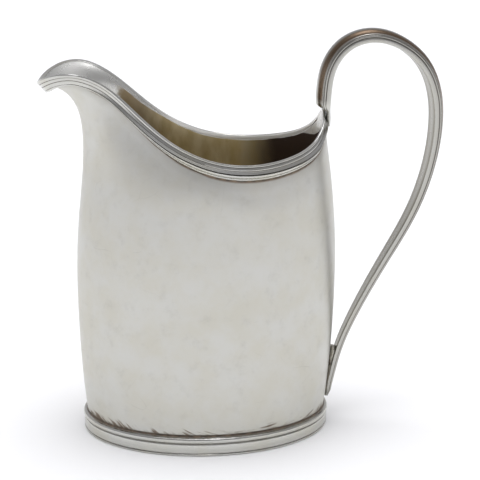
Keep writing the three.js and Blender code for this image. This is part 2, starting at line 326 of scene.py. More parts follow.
def join_seams(cap_ends=False):
    """Merges the edges that meet, closes open ends if asked, and shades the active piece smooth."""
    bpy.ops.object.mode_set(mode="EDIT")
    bpy.ops.mesh.select_mode(type="VERT")
    bpy.ops.mesh.select_all(action="SELECT")
    bpy.ops.mesh.remove_doubles(threshold=SEAM)
    if cap_ends:
        bpy.ops.mesh.select_mode(type="EDGE")
        bpy.ops.mesh.select_all(action="DESELECT")
        bpy.ops.mesh.select_non_manifold(
            extend=False, use_wire=False, use_boundary=True, use_multi_face=False, use_non_contiguous=False
        )
        bpy.ops.mesh.edge_face_add()
    bpy.ops.object.mode_set(mode="OBJECT")
    bpy.ops.object.shade_smooth_by_angle(angle=math.radians(50))


def thickened(piece, thickness, *finishes):
    """Gives a sheet its finishes, of the modelled side and then the new one, and its thickness."""
    for finish in finishes:
        piece.data.materials.append(finish)
    wall = piece.modifiers.new("sheet", "SOLIDIFY")
    wall.thickness = thickness
    wall.offset = -1
    wall.material_offset = 1
    bpy.ops.object.modifier_apply(modifier=wall.name)


def belongs(piece, node):
    """Places a finished piece on the frame, in the place of a CAD node."""
    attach(piece, BODY)
    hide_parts(node)


def reed(start, end, swell, steps):
    """Points of one rounded reed between two places of a section, each given as out and along."""
    angle = np.linspace(0, math.pi, steps + 1)
    share = (1 - np.cos(angle)) / 2
    first = start[0] + (end[0] - start[0]) * share + swell * np.sin(angle)
    second = start[1] + (end[1] - start[1]) * share
    return list(zip(first, second))


# ---- Shader maths ------------------------------------------------------------------------------
MIX_FACTOR, MIX_FIRST, MIX_SECOND, MIX_RESULT = 0, 6, 7, 2  # a Mix node's sockets for colours


class Signal:
    """A value that varies from place to place. Arithmetic on it adds Math nodes."""

    def __init__(self, web, socket):
        self.web = web
        self.socket = socket

    def maths(self, operation, *values):
        return self.web.node("ShaderNodeMath", {"operation": operation}, dict(enumerate(values)))

    def __add__(self, other):
        return self.maths("ADD", self, other)

    def __radd__(self, other):
        return self.maths("ADD", other, self)

    def __sub__(self, other):
        return self.maths("SUBTRACT", self, other)

    def __rsub__(self, other):
        return self.maths("SUBTRACT", other, self)

    def __mul__(self, other):
        return self.maths("MULTIPLY", self, other)

    def __rmul__(self, other):
        return self.maths("MULTIPLY", other, self)

    def __truediv__(self, other):
        return self.maths("DIVIDE", self, other)

    def __abs__(self):
        return self.maths("ABSOLUTE", self)

    def most(self, other):
        return self.maths("MAXIMUM", self, other)

    def least(self, other):
        return self.maths("MINIMUM", self, other)

    def rise(self, low, high):
        """0 below low, 1 above high, and a smooth step between them. It falls where low > high."""
        if low > high:
            return 1 - self.rise(high, low)
        inputs = {"Value": self, "From Min": low, "From Max": high}
        return self.web.node("ShaderNodeMapRange", {"interpolation_type": "SMOOTHSTEP"}, inputs)

    def near(self, middle, reach):
        """1 at a value, falling smoothly to 0 at `reach` either side of it."""
        return abs(self - middle).rise(reach, 0.0)


class Web:
    """The nodes of a material or of the world, which start empty."""

    def __init__(self, owner):
        owner.use_nodes = True
        self.tree = owner.node_tree
        self.tree.nodes.clear()

    def node(self, kind, settings, inputs, output=0):
        """Adds a node of a type, sets it, feeds its sockets values or links, and gives an output."""
        made = self.tree.nodes.new(kind)
        for key, value in settings.items():
            setattr(made, key, value)
        for key, value in inputs.items():
            self.feed(made.inputs[key], value)
        return Signal(self, made.outputs[output]) if made.outputs else None

    def feed(self, socket, value):
        if isinstance(value, Signal):
            self.tree.links.new(value.socket, socket)
        elif socket.type == "RGBA":
            socket.default_value = (*value, 1.0)
        else:
            socket.default_value = value

    def part(self, vector, axis):
        """One number of a vector."""
        return self.node("ShaderNodeSeparateXYZ", {}, {"Vector": vector}, output=axis)

    def blend(self, mask, first, second):
        """The first colour where the mask is 0 and the second where it is 1."""
        inputs = {MIX_FACTOR: mask, MIX_FIRST: first, MIX_SECOND: second}
        return self.node("ShaderNodeMix", {"data_type": "RGBA"}, inputs, output=MIX_RESULT)


class Finish(Web):
    """One material, with places on the piece and places in its flat pattern, in millimetres."""

    def __init__(self, name):
        self.material = bpy.data.materials.new(name)
        super().__init__(self.material)
        self.place = self.scaled(self.node("ShaderNodeTexCoord", {}, {}, output="Object"), 1 / MM)
        self.pattern = self.scaled(self.node("ShaderNodeTexCoord", {}, {}, output="UV"), 1 / UV_UNIT)

    def scaled(self, vector, scale):
        """A vector multiplied by a number, or by three numbers, one for each axis."""
        if hasattr(scale, "__len__"):
            return self.node("ShaderNodeVectorMath", {"operation": "MULTIPLY"}, {0: vector, 1: scale})
        return self.node("ShaderNodeVectorMath", {"operation": "SCALE"}, {0: vector, "Scale": scale})

    def turned(self, vector, degrees, stretch):
        """A vector turned and then stretched, for marks that run one way."""
        angles = [math.radians(angle) for angle in degrees]
        inputs = {"Vector": vector, "Rotation": angles, "Scale": [1 / size for size in stretch]}
        return self.node("ShaderNodeMapping", {"vector_type": "POINT"}, inputs)

    def cloud(self, vector, size, detail=3.0, roughness=0.55):
        """Soft noise from 0 to 1 whose features are about `size` across."""
        inputs = {"Vector": vector, "Scale": 1 / size, "Detail": detail, "Roughness": roughness}
        return self.node("ShaderNodeTexNoise", {}, inputs)

    def cells(self, vector, size, feature="F1"):
        """Distance to the nearest scattered point, or to the border between two, in cells."""
        inputs = {"Vector": vector, "Scale": 1 / size}
        return self.node("ShaderNodeTexVoronoi", {"feature": feature}, inputs)

    def bumped(self, height, distance, under=None):
        """A normal tilted by a height that goes from 0 to 1 over `distance` millimetres."""
        inputs = {"Height": height, "Distance": distance * MM, "Strength": 1.0}
        if under is not None:
            inputs["Normal"] = under
        return self.node("ShaderNodeBump", {}, inputs)

    def metal(self, color, roughness, normal, metallic=1.0):
        """Joins the surface to the material's output."""
        inputs = {"Base Color": color, "Metallic": metallic, "Roughness": roughness, "Normal": normal}
        surface = self.node("ShaderNodeBsdfPrincipled", {}, inputs)
        self.node("ShaderNodeOutputMaterial", {}, {"Surface": surface})
        return self.material

    # Marks that old silver has, as masks from 0 to 1.
    def scratches(self, vector, size, width, kept):
        """Long hairlines, `size` apart and `width` wide, of which a share is kept."""
        wander = self.scaled(self.cloud(vector, size * 1.7, detail=1.0), size)
        bent = self.node("ShaderNodeVectorMath", {"operation": "ADD"}, {0: vector, 1: wander})
        line = self.cells(bent, size, feature="DISTANCE_TO_EDGE").rise(width / size, 0.0)
        return line * self.cloud(vector, size * 0.8, detail=1.0).rise(1 - kept, 1 - kept + 0.08)

    def pits(self, vector, size, radius, kept):
        """Round specks up to `radius` across, one in each cell, of which a share is kept."""
        spot = self.cells(vector, size).rise(radius / size, 0.0)
        return spot * self.cloud(vector, size * 2.5, detail=0.0).rise(1 - kept, 1 - kept + 0.05)


# ---- Finishes ----------------------------------------------------------------------------------
def wall_silver(colors):
    """The outside of the wall: polished once, now finely scratched, with dark traces at its joins and
    painted shade below the rim wire.
    """
    finish = Finish("wall_silver")
    place = finish.place
    pattern = finish.pattern
    down = finish.part(pattern, 1)
    x = finish.part(place, 0)  # the handle is on the side where x is above 0
    y = finish.part(place, 1)
    above_foot = finish.part(place, 2) - FOOT_TOP
    below_wire = down - WIRE_DEPTH
    tone = finish.cloud(place, 10.0, detail=7.0, roughness=0.66)
    breath = finish.cloud(place, 4.0, detail=5.0, roughness=0.65)
    lines = finish.scratches(place, 12.0, 0.045, 0.4)
    crossing = finish.scratches(finish.turned(place, (25, 40, 15), (1.0, 1.0, 2.4)), 6.0, 0.03, 0.34)
    specks = finish.pits(place, 3.4, 0.1, 0.32)
    streak = finish.cloud(finish.scaled(pattern, (0.08, 1, 1)), 0.9, detail=5.0, roughness=0.65)
    patch = finish.cloud(finish.scaled(pattern, (1, 0.3, 1)), 9.0, detail=2.0)
    smudge = ((2.15 - above_foot) * 0.09 + streak + 0.9 * (patch - 0.5)).rise(0.6, 0.76)
    at_foot = (smudge * above_foot.rise(2.55, 1.25)).most(above_foot.rise(0.25, 0.0) * 0.8)
    off_lap = abs(y).rise(5.2, 7.5).most(x.rise(0.0, -5.0))
    under_rim = below_wire.rise(0.55, -0.05) * streak.rise(0.34, 0.5) * off_lap
    seam = abs(y).rise(0.14, 0.04) * x.rise(0.0, 5.0)
    color = finish.blend(tone.rise(0.3, 0.7), colors.silver, colors.silver_warm)
    color = finish.blend(breath.rise(0.5, 0.8) * 0.26, color, colors.scratch_and_shade)
    # painted shade: the wall greys over about 4 mm below the rim wire, standing in for the wire's soft
    # shadow
    color = finish.blend((below_wire + streak).rise(4.0, 0.2) * 0.55, color, colors.scratch_and_shade)
    color = finish.blend((lines + crossing).least(1.0) * 0.34, color, colors.scratch_and_shade)
    color = finish.blend(specks * 0.5, color, colors.tarnish)
    color = finish.blend((at_foot + under_rim).least(1.0) * 0.85, color, colors.tarnish)
    color = finish.blend(seam * 0.4, color, colors.scratch_and_shade)
    roughness = 0.33 + 0.08 * tone + 0.06 * breath + 0.12 * lines + 0.2 * at_foot
    waves = finish.cloud(place, 30.0, detail=1.0)
    normal = finish.bumped(waves, 0.3)
    normal = finish.bumped(breath, 0.01, under=normal)
    normal = finish.bumped(1 - (lines + crossing + specks).least(1.0), 0.01, under=normal)
    return finish.metal(color, roughness, normal)


def inside_silver(colors):
    """The inside of the wall: clean in the spout and along the rim, where a painted highlight lies, brown
    with tarnish below, and painted shade towards the handle.
    """
    finish = Finish("inside_silver")
    place = finish.place
    along = finish.part(place, 0) - MIDDLE_X
    down = finish.part(finish.pattern, 1)
    edge = finish.cloud(place, 7.0, detail=5.0, roughness=0.6)
    tarnished = ((along + 24.0) / 12.0 + (edge - 0.5) * 1.5).rise(-0.12, 0.2)
    clean = 1.4 + 3.4 * along.rise(28.0, 32.6) + 1.2 * along.rise(-8.0, -20.0)
    # A band along the rim, clean of tarnish, that also carries a painted highlight: near-white with less
    # metal.
    clean_rim_highlight = (down + (edge - 0.5) * 0.9 - clean).rise(0.15, -0.15) * tarnished
    tarnished = tarnished - clean_rim_highlight
    clean_rim_highlight = clean_rim_highlight * along.rise(-20.0, -6.0)
    mottle = finish.cloud(finish.turned(place, (0, 0, 0), (1, 1, 2.6)), 4.0, detail=5.0)
    dark = finish.blend(mottle.rise(0.3, 0.75), colors.tarnish_inside, colors.tarnish_pale)
    dark = finish.blend((along + (mottle - 0.5) * 8.0).rise(-6.0, -18.0) * 0.7, dark, colors.tarnish)
    # painted shade: the tarnish darkens towards the handle, standing in for the dark that the inside
    # reflects there
    handle_side_shade = (along + (mottle - 0.5) * 6.0).rise(9.0, 22.0)
    dark = finish.blend(handle_side_shade, dark, colors.deep_inside_shade)
    lines = finish.scratches(place, 9.0, 0.06, 0.4)
    # painted light: the clean part of the spout is made near-white with less metal, standing in for its
    # brighter reflection
    spout_painted_light = along.rise(-43.0, -36.0) * (1 - tarnished) * 0.3
    color = finish.blend(tarnished, colors.silver, dark)
    color = finish.blend(clean_rim_highlight.most(spout_painted_light), color, colors.highlight_white)
    color = finish.blend(lines * 0.25, color, colors.scratch_and_shade)
    roughness = 0.22 + 0.26 * tarnished + 0.1 * mottle
    normal = finish.bumped(finish.cloud(place, 24.0, detail=1.0), 0.3)
    normal = finish.bumped(mottle, 0.015, under=normal)
    return finish.metal(color, roughness, normal, 1 - 0.8 * tarnished - 0.65 * clean_rim_highlight.most(spout_painted_light))


def base_silver(colors):
    """The underside of the base: hammered flat, scratched by tables and brown in patches."""
    finish = Finish("base_silver")
    place = finish.place
    tone = finish.cloud(place, 9.0, detail=5.0)
    dents = finish.cells(place, 3.6)
    lines = finish.scratches(place, 4.0, 0.06, 0.5)
    color = finish.blend(tone.rise(0.35, 0.65), colors.silver, colors.silver_warm)
    color = finish.blend(tone.rise(0.5, 0.75) * 0.5, color, colors.tarnish_pale)
    color = finish.blend(lines * 0.35, color, colors.scratch_and_shade)
    normal = finish.bumped(dents, 0.03)
    normal = finish.bumped(1 - lines, 0.015, under=normal)
    return finish.metal(color, 0.3 + 0.15 * tone, normal)


def drawn_silver(name, colors):
    """Drawn wire before its dirt: the finish, its colour, its fine lines, its tone and its specks."""
    finish = Finish(name)
    stretched = finish.scaled(finish.pattern, (1 / 30, 1, 1))
    draw_lines = finish.cloud(stretched, 0.16, detail=3.0)
    tone = finish.cloud(finish.place, 11.0, detail=3.0)
    specks = finish.pits(finish.place, 2.6, 0.12, 0.3)
    color = finish.blend(tone.rise(0.35, 0.7), colors.silver, colors.silver_warm)
    color = finish.blend(draw_lines.rise(0.42, 0.75) * 0.3, color, colors.scratch_and_shade)
    color = finish.blend(specks * 0.5, color, colors.tarnish)
    return finish, color, draw_lines, tone, specks


def drawn_surface(finish, color, draw_lines, tone, specks, dirty, metallic=1.0):
    """Joins a drawn wire's finish to its output."""
    roughness = 0.09 + 0.07 * tone + 0.06 * draw_lines + 0.3 * dirty
    normal = finish.bumped(draw_lines, 0.035)
    normal = finish.bumped(1 - specks, 0.02, under=normal)
    return finish.metal(color, roughness, normal, metallic)


def lines_at(across, places, spread):
    """A mask of lines that run along a wire at places across it."""
    mask = across.near(places[0], spread)
    for place in places[1:]:
        mask = mask.most(across.near(place, spread))
    return mask


def wire_silver(name, colors, grooves, spread, dirt, solder_at):
    """Drawn wire: bright reeds, dirt in the listed grooves, solder along its edge on the wall, and a
    painted highlight on the inner side of the rim wire.
    """
    finish, color, draw_lines, tone, specks = drawn_silver(name, colors)
    across = finish.part(finish.pattern, 1)
    broken = finish.cloud(finish.scaled(finish.pattern, (0.25, 1, 1)), 2.2, detail=4.0)
    dirty = lines_at(across, grooves, spread) * broken.rise(0.05, 0.4) * dirt
    ragged = finish.cloud(finish.scaled(finish.pattern, (0.5, 1, 1)), 1.1, detail=4.0)
    solder = (across + (ragged - 0.5) * 0.3).rise(solder_at - 0.04, solder_at + 0.08)
    color = finish.blend(dirty, color, colors.groove)
    burnt = finish.blend(ragged.rise(0.4, 0.65), colors.groove, colors.tarnish)
    color = finish.blend(solder * 0.9, color, burnt)
    # painted highlight: the rim wire's inner side is near-white with less metal
    inner = across.rise(-0.4, -0.62) * (finish.part(finish.place, 0) - MIDDLE_X).rise(-20.0, -6.0)
    color = finish.blend(inner, color, colors.highlight_white)
    return drawn_surface(finish, color, draw_lines, tone, specks, dirty.most(solder), 1 - 0.65 * inner)


def strap_silver(colors, grooves, stain, inner):
    """The handle's drawn strap: dark grooves, brown in its hollows, side faces darker towards their first
    grooves, and olive tarnish with painted shade on its inner face.
    """
    finish, color, draw_lines, tone, specks = drawn_silver("strap_silver", colors)
    across = finish.part(finish.pattern, 1)
    broken = finish.cloud(finish.scaled(finish.pattern, (0.12, 1, 1)), 1.6, detail=4.0)
    along = finish.part(finish.pattern, 0)
    past_lap = along.rise(5.2, 7.5)
    looped = past_lap * (1 - 0.8 * along.rise(85.0, 115.0))
    thin = lines_at(across, grooves, 0.32) * broken.rise(0.05, 0.3) * looped
    hollow = looped * across.rise(1.0, 1.9) * across.rise(stain + 1.5, stain + 0.9) * broken.rise(-0.5, 0.5)
    # olive tarnish and painted shade on the inner face, darkest by its edge and lighter further in
    behind = across.rise(inner - 0.3, inner + 0.1) * past_lap
    behind = behind * (1 - 0.35 * across.rise(inner + 0.5, inner + 4.5))
    # the side face darkens from its inner edge towards its first groove
    face = across.rise(inner - 0.5, grooves[0]) * 0.75 * past_lap
    color = finish.blend(past_lap * 0.4, color, colors.scratch_and_shade)
    color = finish.blend(face, color, colors.scratch_and_shade)
    color = finish.blend(behind * (0.92 + 0.08 * broken), color, colors.inner_tarnish_and_shade)
    color = finish.blend(hollow * 0.95, color, colors.tarnish)
    color = finish.blend(across.near(stain, 0.6) * looped * 0.85, color, colors.groove)
    color = finish.blend(thin * 0.9, color, colors.groove)
    dirty = thin.most(hollow * 0.4).most(behind * 0.6)
    return drawn_surface(finish, color, draw_lines, tone, specks, dirty)


def solder_metal(colors):
    """Old hard solder: pale and lumpy, with ragged brown pits."""
    finish = Finish("old_solder")
    place = finish.place
    lumps = finish.cloud(place, 1.6, detail=5.0, roughness=0.65)
    ragged = finish.cloud(finish.scaled(place, (1, 1, 0.5)), 1.5, detail=5.0, roughness=0.7)
    specks = finish.pits(place, 0.7, 0.2, 0.5)
    color = finish.blend(lumps.rise(0.35, 0.65), colors.solder, colors.silver_warm)
    color = finish.blend(ragged.rise(0.53, 0.62) * 0.8, color, colors.tarnish)
    color = finish.blend(specks * 0.6, color, colors.groove)
    normal = finish.bumped(lumps, 0.1)
    normal = finish.bumped(1 - specks, 0.08, under=normal)
    return finish.metal(color, 0.22 + 0.3 * ragged, normal)


def floor_white(color):
    """Matt white paper."""
    finish = Finish("floor_paper")
    grain = finish.cloud(finish.place, 1.5, detail=2.0)
    shade = finish.blend(grain * 0.02, color, (0.8, 0.8, 0.8))
    return finish.metal(shade, 0.9, finish.bumped(grain, 0.02), metallic=0.0)


# ---- Settings that a user would change ---------------------------------------------------------
def color_property(name, description, default):
    return FloatVectorProperty(
        name=name, description=description, default=default, subtype="COLOR", size=3, min=0.0, max=1.0
    )


def length_property(name, description, default, **limits):
    return FloatProperty(
        name=name, description=description, default=default, subtype="DISTANCE", unit="LENGTH", **limits
    )


def angle_property(name, description, degrees):
    return FloatProperty(
        name=name,
        description=description,
        default=math.radians(degrees),
        subtype="ANGLE",
        unit="ROTATION",
    )


class JugColors(bpy.types.PropertyGroup):
    silver: color_property("Silver", "Clean silver", (0.58, 0.578, 0.545))
    silver_warm: color_property("Warm silver", "Silver with a breath of tarnish", (0.56, 0.547, 0.485))
    # painted highlight colour, for the inside of the rim, the spout and the rim wire's inner side
    highlight_white: color_property("Milky", "Silver along the inside of the rim", (0.9, 0.89, 0.84))
    # also the colour of the painted shade below the rim wire
    scratch_and_shade: color_property("Scratch", "Dark line of a scratch", (0.36, 0.35, 0.32))
    tarnish: color_property("Tarnish", "Brown tarnish at joins and in pits", (0.16, 0.11, 0.07))
    # olive tarnish and painted shade, for the strap's inner face
    inner_tarnish_and_shade: color_property("Dull", "Olive tarnish on faces that no cloth reaches", (0.2, 0.185, 0.14))
    tarnish_inside: color_property("Inside", "Tarnish inside the body", (0.6, 0.47, 0.22))
    tarnish_pale: color_property("Pale inside", "Thinner tarnish inside the body", (0.8, 0.68, 0.42))
    # painted shade: the dark inside by the handle
    deep_inside_shade: color_property("Deep inside", "Tarnish inside, by the handle", (0.05, 0.03, 0.02))
    groove: color_property("Groove", "Dark left in grooves", (0.05, 0.035, 0.022))
    solder: color_property("Solder", "Old solder", (0.5, 0.45, 0.37))
    floor: color_property("Floor", "The floor's paper", (0.86, 0.86, 0.86))


class JugDetail(bpy.types.PropertyGroup):
    around: IntProperty(name="Around", description="Divisions round the oval", default=288, min=48, max=400)
    wall_rows: IntProperty(name="Wall rows", description="Rows up the wall", default=110, min=20, max=200)
    strap_steps: IntProperty(
        name="Strap steps", description="Divisions along the handle", default=420, min=60, max=600
    )
    unevenness: length_property(
        "Unevenness",
        "How far the hand-raised wall strays from its true form",
        0.05 * MM,
        min=0.0,
        max=0.3 * MM,
    )


class JugStudio(bpy.types.PropertyGroup):
    floor_size: length_property("Floor", "Side of the floor", 12.0)
    distance: length_property("Distance", "From the camera to the middle of the jug", 0.35088)
    azimuth: angle_property("Azimuth", "The camera's angle round the jug, towards the handle", -4.0)
    elevation: angle_property("Elevation", "The camera's angle above the floor", 15.04)
    aim_sideways: length_property("Aim sideways", "How far from the foot's middle it looks", 0.0099)
    aim_height: length_property("Aim height", "The height that the camera looks at", 0.05366)
    lamp_width: angle_property("Lamp width", "How wide the lamp overhead looks from the floor", 60.0)
    lens: FloatProperty(
        name="Lens", description="Focal length in millimetres", default=94.1, min=10, max=300
    )
    top_light: FloatProperty(
        name="Top light", description="Strength of the soft light overhead", default=1.95, min=0, max=20
    )
    room_light: FloatProperty(
        name="Room light", description="Strength of the light from all round", default=1.0, min=0, max=10
    )


# ---- Pieces ------------------------------------------------------------------------------------
ROWS_CROWD = 1.35  # above 1 it sets the wall's rows closer together towards the rim
EDGE_DROPS_OVER = 0.03  # angle over which the wall's edge drops behind the rim wire's end
STRAY_FADES_OVER = 12.0  # distance from the wall's two edges over which its unevenness fades
STRAY_SIZE = 22.0  # how far apart the unevenness has its high and low places


def unevenness(points, amount):
    """How far each point of a hand-raised wall strays outward, in millimetres."""
    flat = points.reshape(-1, 3) / STRAY_SIZE
    return np.array([noise.noise(Vector(p)) for p in flat]).reshape(points.shape[:2]) * amount / MM


class JUG_OT_body(bpy.types.Operator):
    """Rolls, seams and raises the sheet of the body"""

    bl_idname = "jug.body"
    bl_label = "Body"

    def execute(self, context):
        scene = context.scene
        turns = np.linspace(-math.pi, math.pi, scene.jug_detail.around + 1)
        length = wall_length(turns)
        share = np.linspace(0, 1, scene.jug_detail.wall_rows + 1)
        share = 1 - (1 - share) ** ROWS_CROWD
        past_end = (np.abs(turns) - WIRE_ENDS_AT) / EDGE_DROPS_OVER
        first = WIRE_STAND * np.clip(past_end, 0, 1)[:, None]
        downs = first + (length[:, None] - first) * (1 - share[None, :])
        true_points = off_wall(turns, downs, 0.0)
        fade = np.minimum(downs - WIRE_STAND, length[:, None] - downs) / STRAY_FADES_OVER
        stray = unevenness(true_points, scene.jug_detail.unevenness) * np.clip(fade, 0, 1)
        points = off_wall(turns, downs, stray)
        points[:, 0, 2] = 0.0
        around = np.broadcast_to(turns[:, None] * BELLY_HALF_LENGTH, downs.shape)
        piece = wrapped_sheet("body", points, np.stack([around, downs], axis=-1))
        join_seams()
        thickened(piece, SHEET * MM, wall_silver(scene.jug_colors), inside_silver(scene.jug_colors))
        belongs(piece, "body_shell")
        return {"FINISHED"}


class JUG_OT_base(bpy.types.Operator):
    """Cuts the oval base plate and domes it"""

    bl_idname = "jug.base"
    bl_label = "Base plate"

    def execute(self, context):
        scene = context.scene
        low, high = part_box("base_plate")
        half = Vector(((high.x - low.x) / 2, (high.y - low.y) / 2))
        sheet = BASE_SHEET * MM
        rings = 12
        ring_width, dome_reach = 0.075, 0.86  # as shares of the plate's half length
        dome_curve = 0.8
        crown = high.z - low.z - sheet
        bpy.ops.object.select_all(action="DESELECT")
        edges = scene.jug_detail.around // 2
        bpy.ops.mesh.primitive_circle_add(vertices=edges, radius=1.0, fill_type="NGON")
        piece = context.object
        piece.name = piece.data.name = "base"
        bpy.ops.object.mode_set(mode="EDIT")
        for _ in range(rings):
            bpy.ops.mesh.inset(thickness=ring_width, depth=0.0)
        bpy.ops.object.mode_set(mode="OBJECT")
        middle = (low + high) / 2
        for vertex in piece.data.vertices:
            radius = vertex.co.xy.length
            dome = min(1.0, max(1 - radius, 0.0) / dome_reach) ** dome_curve
            vertex.co = (
                middle.x + vertex.co.x * half.x,
                middle.y + vertex.co.y * half.y,
                low.z + sheet + crown * dome,
            )
        thickened(piece, sheet, inside_silver(scene.jug_colors), base_silver(scene.jug_colors))
        bpy.ops.object.shade_smooth_by_angle(angle=math.radians(40))
        belongs(piece, "base_plate")
        return {"FINISHED"}


INNER_STARTS = 0.3  # how far past zero the pattern starts on a section's inner side


def swept_round(name, turns, section, place):
    """A closed section, as pairs, carried round the jug. place(turns, first, second) gives points.

    The pattern runs across the outside of the section, and is negative on its inner side.
    """
    first, second = np.broadcast_to(section, (len(turns), len(section), 2)).transpose(2, 0, 1)
    points = place(turns, first, second)
    around = np.broadcast_to(turns[:, None] * BELLY_HALF_LENGTH, first.shape)
    across = np.where(first < 0, -INNER_STARTS - second, second)
    return wrapped_sheet(name, points, np.stack([around, across], axis=-1))


class JUG_OT_foot(bpy.types.Operator):
    """Draws the foot wire's moulding and bends it round the wall"""

    bl_idname = "jug.foot"
    bl_label = "Foot wire"

    def execute(self, context):
        scene = context.scene
        half = (foot_high.x - foot_low.x) / 2 / MM
        section = [
            *reed((half - 0.55, 0.0), (half - 0.5, 0.62), 0.34, 8),
            (half - 0.42, 0.7),
            *reed((half - 0.34, 0.78), (half - 0.36, 3.3), 0.16, 14),
            *reed((half - 0.62, 3.55), (half - 0.55, 5.1), 0.6, 12),
            (half - 0.8, 5.2),
        ]
        against_wall = ((5.3, 0.3), (FOOT_TOP, 0.06), (5.1, 0.0), (2.6, 0.0), (0.0, 0.0))
        section += [(float(half_length_at(z)) + 0.02 + out, z) for z, out in against_wall]
        section.append(section[0])
        turns = np.linspace(-math.pi, math.pi, scene.jug_detail.around + 1)

        def place(turns, half_lengths, z):
            wall = half_length_at(z)
            return oval_points(turns[:, None], wall, z, half_lengths - wall)

        piece = swept_round("foot", turns, section, place)
        join_seams()
        finish = wire_silver("foot_silver", scene.jug_colors, FOOT_GROOVES, 0.16, 0.6, FOOT_SOLDER)
        piece.data.materials.append(finish)
        belongs(piece, "foot_wire")
        return {"FINISHED"}


class JUG_OT_rim(bpy.types.Operator):
    """Draws the reeded rim wire and bends it round the wall's edge, up to the handle's edges"""

    bl_idname = "jug.rim"
    bl_label = "Rim wire"

    def execute(self, context):
        scene = context.scene
        outer_face = 0.1  # what stands out further than this tapers and turns
        over_edge = [(0.0, 0.6), (0.05, 0.36), (0.15, 0.17), (0.3, 0.05), (0.45, 0.0)]
        over_edge += [(0.62, 0.01), (0.74, 0.06), (0.81, 0.13)]
        band = [(0.26, 0.24), (0.31, 0.58), (0.22, 0.68), (0.34, 0.78), (0.46, 1.1), (0.6, 1.45)]
        band += [(0.57, 1.52), (0.66, 1.6), (0.84, 1.95), (1.02, 2.25), (1.08, 2.34)]
        section = [
            *[(out - SHEET, down) for out, down in over_edge],
            *band,
            (0.76, 2.5),
            *reed((0.98, 2.66), (0.42, 3.5), 0.3, 12),
            (0.34, 3.55),
            *reed((0.34, 3.6), (0.22, 3.92), 0.1, 4),
            (0.17, 4.0),
            (0.06, WIRE_DEPTH),
            (0.03, 3.8),
            (0.03, WIRE_STAND),
            (-SHEET / 2, WIRE_STAND - 0.02),
            (-SHEET, WIRE_STAND - 0.04),
            (-SHEET, 0.6),
        ]
        turns = np.linspace(WIRE_ENDS_AT, 2 * math.pi - WIRE_ENDS_AT, scene.jug_detail.around * 2 + 1)

        def place(turns, out, down):
            twist = np.interp(np.degrees(np.abs(wrapped(turns))), *RIM_TWIST)[:, None]
            from_end = np.minimum(turns, 2 * math.pi - turns) - WIRE_ENDS_AT
            fine = np.clip(from_end / WIRE_TAPERS_OVER, 0, 1)[:, None]
            down = down * (WIRE_END_DEPTH + (1 - WIRE_END_DEPTH) * fine)
            turned = out * (WIRE_END_STAND + (1 - WIRE_END_STAND) * fine) + twist * down
            return off_wall(turns, down, np.where(out > outer_face, turned, out))

        piece = swept_round("rim", turns, section[::-1], place)
        join_seams(cap_ends=True)
        finish = wire_silver("rim_silver", scene.jug_colors, RIM_GROOVES, 0.17, 0.9, RIM_SOLDER)
        piece.data.materials.append(finish)
        belongs(piece, "rim_wire")
        return {"FINISHED"}


def strap_route():
    """Functions for the strap's inner face and its section, by a share along it."""
    reached = np.concatenate([[0], np.cumsum(np.hypot(np.diff(HANDLE[:, 0]), np.diff(HANDLE[:, 1])))])
    shares = reached / reached[-1]
    x = spline(shares, HANDLE[:, 0], False)
    z = spline(shares, HANDLE[:, 1], False)
    sizes = [lambda at, column=column: np.interp(at, shares, HANDLE[:, column]) for column in (2, 3, 4)]
    return x, z, sizes, reached[-1]


class JUG_OT_handle(bpy.types.Operator):
    """Draws the reeded strap and bends it into the handle's loop"""

    bl_idname = "jug.handle"
    bl_label = "Handle strap"

    def execute(self, context):
        scene = context.scene
        edge_face = [(0.97, 0.0), (1.0, 0.04), (1.005, 0.3), (0.995, 0.55), (0.98, 0.61), (0.95, 0.65)]
        low_reed = [(0.975, 0.69), (0.985, 0.77), (0.97, 0.87), (0.935, 0.93), (0.89, 0.92)]
        high_reed = [(0.9, 0.97), (0.895, 1.06), (0.86, 1.16), (0.8, 1.22), (0.73, 1.22), (0.68, 1.14)]
        hollow = [(0.65, 1.04), (0.62, 0.96), (0.595, 0.95), (0.57, 1.0)]
        crown_side = [(0.54, 1.18), (0.48, 1.42), (0.4, 1.64), (0.3, 1.81), (0.2, 1.92), (0.1, 1.98)]
        half_section = edge_face + low_reed + high_reed + hollow + crown_side
        section = [*half_section, (0.0, 2.0), *[(-a, b) for a, b in half_section[::-1]]]
        section += [(-0.6, 0.0), (0.0, 0.0), (0.6, 0.0), section[0]]
        across = np.array([pair[0] for pair in section])
        through = np.array([pair[1] for pair in section])
        x, z, (width, edge, crown), length = strap_route()
        along = np.linspace(0, 1, scene.jug_detail.strap_steps + 1)
        step = 1e-4
        heading = np.stack([x(along + step) - x(along - step), z(along + step) - z(along - step)], axis=-1)
        heading /= np.linalg.norm(heading, axis=1)[:, None]
        height = np.minimum(through, 1) * edge(along)[:, None]
        height = height + np.maximum(through - 1, 0) * crown(along)[:, None]
        points = np.stack(
            [
                x(along)[:, None] - heading[:, 1:] * height,
                across[None, :] * width(along)[:, None] / 2,
                z(along)[:, None] + heading[:, :1] * height,
            ],
            axis=-1,
        )
        widest, thickest, highest = HANDLE[:, 2:].max(axis=0)
        rises = np.minimum(through, 1) * thickest + np.maximum(through - 1, 0) * highest
        steps = np.hypot(np.diff(across * widest / 2), np.diff(rises))
        round_section = np.concatenate([[0], np.cumsum(steps)])
        crown_at = round_section[len(half_section)]
        girth = round_section[-1]
        from_crown = np.abs(round_section - crown_at)
        from_crown = np.minimum(from_crown, girth - from_crown)
        flat = np.stack(np.broadcast_arrays(along[:, None] * length, from_crown[None, :]), axis=-1)
        grooves = [from_crown[len(edge_face) - 1], from_crown[len(edge_face + low_reed) - 1]]
        stain = from_crown[len(edge_face + low_reed + high_reed) + 1]
        inner = from_crown[0] + 0.3
        piece = wrapped_sheet("handle", points, flat)
        join_seams(cap_ends=True)
        piece.data.materials.append(strap_silver(scene.jug_colors, grooves, stain, inner))
        belongs(piece, "handle_strap")
        return {"FINISHED"}


